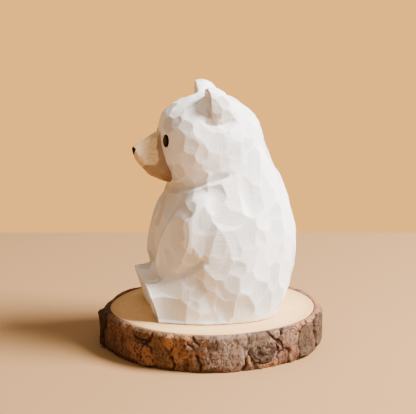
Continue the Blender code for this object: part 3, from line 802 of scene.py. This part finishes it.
def build_inner_bark():
    """A closed sleeve: rings up its outer face, over the top and down inside, joined back to the first."""
    around, levels = ((680, 44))
    angle = np.linspace(-math.pi, math.pi, around, endpoint=False)
    inside = wood_radius(angle) + 0.02
    flat_top = SLICE_TOP + 0.1 * fractal(on_log(angle, 0), 3.0, 3, 61)
    ragged = np.clip(fractal(on_log(angle, 9), 4.0, 3, 62), 0, 1)
    rings, cracks = [on_log(angle, 0, inside)], [np.zeros(around)]
    for height in np.linspace(0.1, SLICE_TOP - 0.1, levels):
        z = flat_top * height / SLICE_TOP
        relief, crack = bark_relief(angle, z)
        round_over = (1 - ramp(z, 0, 2.2)) * (0.5 + ragged) + 0.9 * ramp(z, SLICE_TOP - 1.4, SLICE_TOP)
        rings.append(on_log(angle, z, inside + np.maximum(BARK_THICKNESS + relief - round_over, 0.5)))
        cracks.append(crack)
    rings += [on_log(angle, flat_top, inside + 1.0), on_log(angle, SLICE_TOP - 0.05, inside)]
    cracks += [np.zeros(around)] * 2
    pairs = [(row, (row + 1) % len(rings)) for row in range(len(rings))]
    obj = mesh_object("bark_inner", np.vstack(rings), ring_faces(pairs, around))
    points = points_of(obj)
    degrees = np.degrees(np.arctan2(points[:, 1], points[:, 0]))
    rust, pale = bark_hues(np.radians(degrees), points[:, 2])
    lichen = 0.7 * ramp(fractal(points, 10.0, 3, 95), 0.1, 0.3)
    flecks = ramp(fractal(points, 3.5, 3, 97), -0.05, 0.15)
    flecked = ramp(degrees, -32, -26) * ramp(-degrees, 12, 18) * flecks
    left_end = ramp(-degrees, 66, 80) * ramp(degrees, -125, -105)
    dark = np.maximum(0.3 * left_end, 0.65 * flecked)
    add_attributes(obj, crack=np.concatenate(cracks), rust=rust, pale=pale, lichen=lichen, dark=dark)
    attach(obj, "base")
    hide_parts("inner_bark")
    obj.data.materials.append(bark_paint("bark_inner"))


# Each outer scale: the cracks on its two sides in degrees, its low and high ends as shares of the height,
# how proud it stands in mm, how grey-green and how dark it is, and how round. The round one is the knot.
SCALES = (
    (-124, -101, 0.03, 0.92, 1.5, 0.4, 0.2, 0.5),
    (-101, -85, 0.02, 0.97, 2.6, 0.1, 1.0, 0.4),
    (-85, -62, 0.05, 0.9, 0.9, 0.1, 0.25, 0.6),
    (-62, -41, 0.03, 0.62, 0.7, 0.15, 0.0, 0.7),
    (-20, -3, 0.12, 0.94, 0.35, 0.1, 0.0, 0.8),
    (8.5, 26, 0.12, 0.78, 0.7, 0.95, 0.75, 1.0),
    (27, 40, 0.4, 0.97, 0.5, 0.15, 0.0, 0.3),
    (40, 57, 0.05, 0.93, 1.2, 0.85, 0.35, 0.4),
    (57, 73, 0.08, 0.96, 1.5, 0.85, 0.35, 0.3),
    (73, 97, 0.04, 0.9, 1.3, 0.5, 0.2, 0.5),
    (97, 121, 0.1, 0.96, 1.4, 0.6, 0.1, 0.5),
    (121, 148, 0.03, 0.88, 1.2, 0.2, 0.3, 0.6),
    (155, 182, 0.08, 0.95, 1.6, 0.7, 0.1, 0.5),
    (182, 204, 0.04, 0.6, 1.3, 0.3, 0.2, 0.6),
    (182, 204, 0.68, 0.97, 1.0, 0.4, 0.1, 0.6),
    (204, 232, 0.06, 0.94, 1.5, 0.6, 0.2, 0.5),
)


def crack_angle(degrees, share):
    """Where the winding crack beside a scale is, at shares of the log's height."""
    swing = np.sin(5.1 * share + degrees) + 0.5 * np.sin(11.3 * share + 2 * degrees)
    return math.radians(degrees) + CRACK_SWING * swing / WOOD_RADIUS


def build_scale(number, row):
    """A flake of outer bark, as a grid bent round the log, with an inner face behind it."""
    first, last, low, high, proud, lichen, dark, roundness = row
    columns, levels = ((54, 42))
    p, q = np.meshgrid(np.linspace(-1, 1, columns), np.linspace(-1, 1, levels), indexing="ij")
    p, q = p.ravel(), q.ravel()
    tall = (high - low) * SLICE_TOP
    wide = math.radians(last - first) * BARK_RADIUS
    edge = np.minimum((1 - np.abs(p)) * wide / 2, (1 - np.abs(q)) * tall / 2)
    across = p * np.sqrt(1 - roundness * q * q / 2)
    share = (low + high) / 2 + (high - low) / 2 * q * np.sqrt(1 - roundness * p * p / 2)
    start = crack_angle(first, share) + CRACK_HALF_WIDTH / WOOD_RADIUS
    end = crack_angle(last, share) - CRACK_HALF_WIDTH / WOOD_RADIUS
    angle, z = (start + end) / 2 + (end - start) / 2 * across, share * SLICE_TOP
    place = on_log(angle, z)
    wander = 1.5 * fractal(place, 5.0, 3, 70) + 0.5 * fractal(place, 1.6, 2, 71)
    angle = angle + wander / BARK_RADIUS
    z = np.clip(z + 1.2 * fractal(place, 4.0, 3, 72), 0.15, SLICE_TOP - 0.02)
    place = on_log(angle, z)
    flakes = fractal(place * (1, 1, 0.8), 5.0, 3, 90 + number) * 4
    steps = (np.floor(flakes) + ramp(flakes - np.floor(flakes), 0.7, 1.0)) / 4
    pits = 1 - ramp(np.abs(fractal(place, 4.0, 3, 170 + number)), 0.0, 0.05)
    lumps = fractal(place, 2.6, 4, 130 + number)
    height = proud * (0.8 + 0.4 * steps) + 0.5 * lumps - 0.45 * pits
    if roundness == 1.0:
        height += 0.2 * np.sin(11.0 * np.hypot(p, q) + 2 * fractal(place, 3.0, 2, 77))
    deep = drawn_crack(angle, z)
    height = np.maximum(height, 0.15) * ramp(edge, 0.0, 0.9) ** 0.7 - 0.6 * deep
    under = wood_radius(angle) + 1.6
    outer, inner = on_log(angle, z, under + 0.9 + height), on_log(angle, z, under)
    count = columns * levels
    grid = np.arange(count).reshape(columns, levels)
    corners = np.stack([grid[:-1, :-1], grid[1:, :-1], grid[1:, 1:], grid[:-1, 1:]], -1)
    faces = []
    for quad in corners.reshape(-1, 4).tolist():
        faces += [quad, [count + corner for corner in reversed(quad)]]
    border = np.concatenate([grid[:, 0], grid[-1, 1:], grid[-2::-1, -1], grid[0, -2:0:-1]]).tolist()
    for a, b in zip(border, border[1:] + border[:1]):
        faces.append((a, count + a, count + b, b))
    obj = mesh_object(f"bark_plate_{number:02d}", np.vstack([outer, inner]), faces)
    # The dark mask of a scale: its deep cracks, with painted shade along its edge, darker the prouder it
    # stands, and in its pits and low spots.
    rim = (1 - ramp(edge, 0.05, 0.75)) * (0.3 + 0.6 * ramp(fractal(place, 3.5, 2, 88), -0.2, 0.1))
    rim *= min(1, proud / 0.7)
    hollow_shade = np.maximum(0.8 * pits, 0.55 * ramp(-lumps, 0.14, 0.46))
    crack = np.maximum(np.maximum(rim, deep), hollow_shade)
    rust, pale = bark_hues(angle, z)
    add_attributes(obj, crack=crack, rust=rust, pale=pale, lichen=lichen, dark=dark)
    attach(obj, "base")
    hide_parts(f"bark_scale_{number:02d}")
    obj.data.materials.append(bpy.data.materials.get("bark_outer") or bark_paint("bark_outer"))


# ---- materials ----
class Paint:
    """A short way to write a material's nodes. Lengths given to noise are in millimetres."""

    def __init__(self, name, roughness):
        self.material = bpy.data.materials.new(name)
        self.material.use_nodes = True
        self.tree = self.material.node_tree
        self.shader = self.tree.nodes["Principled BSDF"]
        self.shader.inputs["Roughness"].default_value = roughness
        self.place = self.new("ShaderNodeTexCoord").outputs["Object"]

    def new(self, kind, **settings):
        node = self.tree.nodes.new(kind)
        for key, value in settings.items():
            setattr(node, key, value)
        return node

    def link(self, source, target):
        if isinstance(source, (int, float)):
            target.default_value = source
        elif isinstance(source, tuple):
            target.default_value = (*source, 1.0)
        else:
            self.tree.links.new(source, target)

    def noise(self, size, detail=3.0, stretch=(1, 1, 1), shift=(0, 0, 0), distortion=0.0):
        """A noise whose features are about this large, or larger by the stretch along each axis."""
        mapping = self.new("ShaderNodeMapping")
        mapping.inputs["Location"].default_value = shift
        mapping.inputs["Scale"].default_value = [1 / (size * MM * s) for s in stretch]
        self.link(self.place, mapping.inputs["Vector"])
        node = self.new("ShaderNodeTexNoise")
        node.inputs["Scale"].default_value = 1.0
        node.inputs["Detail"].default_value = detail
        node.inputs["Distortion"].default_value = distortion
        self.link(mapping.outputs["Vector"], node.inputs["Vector"])
        return node.outputs["Fac"]

    def attribute(self, name):
        return self.new("ShaderNodeAttribute", attribute_name=name).outputs["Fac"]

    def fit(self, value, low, high, to_low=0.0, to_high=1.0):
        """A smooth step from to_low, where the value is low, to to_high."""
        node = self.new("ShaderNodeMapRange", interpolation_type="SMOOTHSTEP")
        for source, target in zip((value, low, high, to_low, to_high), node.inputs):
            self.link(source, target)
        return node.outputs["Result"]

    def maths(self, operation, a, b=0.0):
        node = self.new("ShaderNodeMath", operation=operation)
        self.link(a, node.inputs[0])
        self.link(b, node.inputs[1])
        return node.outputs[0]

    def mix(self, share, a, b):
        node = self.new("ShaderNodeMix", data_type="RGBA")
        self.link(share, node.inputs[0])
        self.link(a, node.inputs[6])
        self.link(b, node.inputs[7])
        return node.outputs[2]

    def colour(self, value):
        self.base = value
        self.link(value, self.shader.inputs["Base Color"])

    def coat(self, share, paint):
        """Lays a paint over the colour so far."""
        self.colour(self.mix(share, self.base, paint))

    def rough(self, value):
        self.link(value, self.shader.inputs["Roughness"])

    def bump(self, height, distance):
        node = self.new("ShaderNodeBump")
        node.inputs["Distance"].default_value = distance * MM
        self.link(height, node.inputs["Height"])
        if self.shader.inputs["Normal"].is_linked:
            before = self.shader.inputs["Normal"].links[0].from_socket
            self.link(before, node.inputs["Normal"])
        self.link(node.outputs["Normal"], self.shader.inputs["Normal"])


def white_paint():
    m = Paint("white_paint_carved", 0.6)
    tone, ridge, bare = m.attribute("tone"), m.attribute("ridge"), m.attribute("bare")
    streaks = m.noise(0.5, 3, (1, 1, 10))
    cross = m.noise(0.45, 3, (9, 9, 1), (3, 1, 2))
    cloud = m.noise(14, 3)
    lines = m.mix(m.fit(tone, 0.62, 0.66), streaks, cross)
    m.colour(m.mix(m.fit(tone, 0.0, 1.0), (0.61, 0.6, 0.59), (0.92, 0.915, 0.905)))
    m.coat(m.fit(cloud, 0.35, 0.7, 0.0, 0.2), (0.78, 0.73, 0.69))
    m.coat(m.fit(lines, 0.46, 0.68, 0.0, 0.28), (0.7, 0.66, 0.62))
    # Lighter paint along the ridges between strokes: painted highlight where the edges catch the light, and
    # wear of the paint there.
    m.coat(m.maths("MULTIPLY", ridge, m.fit(cloud, 0.4, 0.65, 0.45, 0.85)), (0.94, 0.935, 0.92))
    m.coat(m.maths("MULTIPLY", bare, m.fit(streaks, 0.35, 0.55, 0.2, 0.75)), (0.57, 0.43, 0.35))
    m.rough(m.fit(lines, 0.3, 0.8, 0.5, 0.72))
    m.bump(lines, 0.13)
    return m.material


def carved_wood():
    m = Paint("bare_wood_carved", 0.5)
    tone, groove = m.attribute("tone"), m.attribute("groove")
    grain = m.noise(0.6, 4, (1, 9, 1), (2, 0, 1), 0.4)
    cloud = m.noise(7, 3)
    # The tone paints light on the muzzle's upper planes and shade on its rear and lower planes.
    m.colour(m.mix(m.fit(tone, 0, 1), (0.215, 0.138, 0.082), (0.9, 0.675, 0.37)))
    m.coat(m.fit(grain, 0.4, 0.68, 0.0, 0.35), (0.36, 0.205, 0.1))
    m.coat(m.fit(cloud, 0.45, 0.75, 0.0, 0.2), (0.66, 0.46, 0.28))
    # Painted shade in the mouth's groove and along the seam under the head's edge.
    m.coat(groove, (0.16, 0.075, 0.03))
    m.rough(m.fit(grain, 0.3, 0.8, 0.42, 0.62))
    m.bump(grain, 0.05)
    return m.material


def black_gloss():
    m = Paint("black_gloss_bead", 0.16)
    haze = m.noise(0.6, 3)
    m.colour(m.mix(haze, (0.001, 0.001, 0.001), (0.005, 0.004, 0.004)))
    m.rough(m.fit(haze, 0.3, 0.8, 0.12, 0.24))
    m.shader.inputs["Specular IOR Level"].default_value = 0.06
    m.bump(m.noise(0.35, 3), 0.008)
    return m.material


def sawn_wood():
    m = Paint("sawn_end_grain", 0.7)
    m.shader.inputs["Specular IOR Level"].default_value = 0.25
    warp = m.noise(16, 3)
    mapping = m.new("ShaderNodeMapping")
    mapping.inputs["Location"].default_value = (-2.5 * MM, -1.5 * MM, 0)
    mapping.inputs["Scale"].default_value = (1 / MM, 1 / MM, 0)
    m.link(m.place, mapping.inputs["Vector"])
    length = m.new("ShaderNodeVectorMath", operation="LENGTH")
    m.link(mapping.outputs["Vector"], length.inputs[0])
    radius = m.maths("ADD", length.outputs["Value"], m.fit(warp, 0.2, 0.8, 0.0, 5.0))
    wave = m.maths("SINE", m.maths("MULTIPLY", radius, 2.9))
    wide = m.maths("SINE", m.maths("MULTIPLY", radius, 0.83))
    fibres = m.noise(0.28, 3)
    blotch = m.noise(9, 3, (1, 1, 1), (1, 2, 3))
    saw = m.noise(0.7, 2, (1, 40, 1), (5, 2, 0))
    m.colour(m.mix(m.fit(wave, 0.2, 1.0, 0.0, 0.3), (0.67, 0.415, 0.18), (0.49, 0.272, 0.102)))
    m.coat(m.fit(wide, 0.0, 1.0, 0.0, 0.25), (0.56, 0.36, 0.18))
    m.coat(m.fit(blotch, 0.4, 0.7, 0.0, 0.4), (0.71, 0.465, 0.22))
    m.coat(m.fit(fibres, 0.5, 0.8, 0.0, 0.35), (0.44, 0.27, 0.13))
    m.coat(m.fit(length.outputs["Value"], 37.0, 42.0, 0.0, 0.6), (0.42, 0.23, 0.1))
    m.rough(m.fit(fibres, 0.2, 0.8, 0.6, 0.8))
    m.bump(wave, 0.02)
    m.bump(fibres, 0.05)
    m.bump(saw, 0.03)
    return m.material


def bark_paint(name):
    """Red-brown and grey-brown mottled bark, rusty, dark or grey-green where the attributes say so."""
    m = Paint(name, 0.9)
    m.shader.inputs["Specular IOR Level"].default_value = 0.12
    words = ("crack", "rust", "pale", "lichen", "dark")
    crack, rust, pale, lichen, dark = (m.attribute(word) for word in words)
    patch, fleck = m.noise(5.5, 4, (1, 1, 1.3)), m.noise(1.0, 5, (1, 1, 1.5), (3, 3, 1), 0.6)
    speck, fine = m.noise(0.55, 4, (1, 1, 1.4), (7, 1, 2), 0.4), m.noise(0.28, 4)
    m.colour(m.mix(m.fit(patch, 0.4, 0.6), (0.128, 0.054, 0.03), (0.19, 0.094, 0.057)))
    m.coat(m.maths("MULTIPLY", pale, m.fit(patch, 0.35, 0.6, 0.5, 0.95)), (0.205, 0.144, 0.104))
    m.coat(m.maths("MULTIPLY", rust, m.fit(patch, 0.62, 0.38, 0.7, 1.0)), (0.335, 0.16, 0.068))
    green = m.mix(m.fit(speck, 0.4, 0.6), (0.034, 0.025, 0.014), (0.082, 0.06, 0.035))
    m.coat(m.maths("MULTIPLY", lichen, m.fit(fleck, 0.3, 0.5, 0.55, 1.0)), green)
    m.coat(m.fit(fleck, 0.49, 0.63, 0.0, 0.9), (0.055, 0.028, 0.017))
    m.coat(m.fit(speck, 0.54, 0.68, 0.0, 0.6), (0.07, 0.038, 0.024))
    m.coat(m.fit(fine, 0.54, 0.74, 0.0, 0.35), (0.17, 0.098, 0.062))
    m.coat(m.maths("MULTIPLY", dark, 0.8), (0.034, 0.018, 0.011))
    # Near black where the crack attribute is high: the cracks' dark insides, partly painted shade, and
    # painted shade in the hollows and along the scales' edges.
    m.coat(m.fit(crack, 0.1, 0.95, 0.0, 0.92), (0.024, 0.011, 0.007))
    m.rough(m.fit(fine, 0.3, 0.8, 0.78, 0.96))
    m.bump(fleck, 0.2)
    m.bump(speck, 0.12)
    m.bump(fine, 0.06)
    return m.material


# ---- the studio ----
CAMERA_AZIMUTH = math.radians(79.0)
TO_CAMERA = Vector((math.sin(CAMERA_AZIMUTH), -math.cos(CAMERA_AZIMUTH), 0))
TO_THE_RIGHT = Vector((math.cos(CAMERA_AZIMUTH), math.sin(CAMERA_AZIMUTH), 0))
PEACH = (1.62, 0.76, 0.17, 1)


def build_stage():
    """A pale table whose far edge is a short way behind the bear, as seen from the camera."""
    sides = ((-900, -190), (900, -190), (900, 900), (-900, 900))
    corners = [TO_THE_RIGHT * a + TO_CAMERA * b for a, b in sides]
    floor = mesh_object("floor", [(c.x, c.y, -0.05) for c in corners], [(0, 1, 2, 3)])
    m = Paint("floor_pale", 0.7)
    m.colour((0.3, 0.162, 0.062))
    floor.data.materials.append(m.material)


def add_area_light(name, place, target, size, power, colour):
    data = bpy.data.lights.new(name, "AREA")
    data.shape = "DISK"
    data.size, data.energy, data.color = size * MM, power, colour
    obj = bpy.data.objects.new(name, data)
    bpy.context.scene.collection.objects.link(obj)
    obj.location = Vector(place) * MM
    obj.rotation_euler = (Vector(target) - Vector(place)).to_track_quat("-Z", "Y").to_euler()


def build_lights():
    add_area_light("key", (250, 568, 640), (0, 5, 50), 430, 52.0, (1.0, 0.975, 0.95))
    add_area_light("fill", (800, -200, 300), (0, 0, 50), 700, 1.0, (1.0, 0.9, 0.8))
    world = bpy.data.worlds.new("studio")
    world.use_nodes = True
    nodes, links = world.node_tree.nodes, world.node_tree.links
    place, split = nodes.new("ShaderNodeTexCoord"), nodes.new("ShaderNodeSeparateXYZ")
    links.new(place.outputs["Generated"], split.inputs[0])
    # The plain peach backdrop at the level of the table's edge, dim above it, and warm from overhead.
    ramp_node = nodes.new("ShaderNodeValToRGB")
    links.new(split.outputs["Z"], ramp_node.inputs[0])
    stops = ramp_node.color_ramp.elements
    stops[0].color, stops[1].color = PEACH, (1.35, 1.07, 0.79, 1)
    stops.new(0.05).color = PEACH
    stops.new(0.09).color = (0.085, 0.055, 0.03, 1)
    stops.new(0.5).color = (0.104, 0.09, 0.074, 1)
    links.new(ramp_node.outputs["Color"], nodes["Background"].inputs["Color"])
    bpy.context.scene.world = world


def build_camera():
    distance, height = 605.0, 193.0
    data = bpy.data.cameras.new("camera")
    data.sensor_width, data.lens = 36.0, 131.1
    data.clip_start, data.clip_end = 0.01, 20.0
    camera = bpy.data.objects.new("camera", data)
    bpy.context.scene.collection.objects.link(camera)
    yaw, pitch = math.radians(-0.18), math.radians(12.68)
    level = TO_THE_RIGHT * math.sin(yaw) - TO_CAMERA * math.cos(yaw)
    forward = level * math.cos(pitch) - Vector((0, 0, math.sin(pitch)))
    camera.location = (TO_CAMERA * distance + Vector((0, 0, height))) * MM
    camera.rotation_euler = forward.to_track_quat("-Z", "Y").to_euler()
    bpy.context.scene.camera = camera


build_camera()
build_lights()
build_stage()
carved_points, carved_normals = build_body()
build_muzzle()
build_beads(carved_points, carved_normals)
build_disc()
build_inner_bark()
for plate, scale_row in enumerate(SCALES, 1):
    build_scale(plate, scale_row)
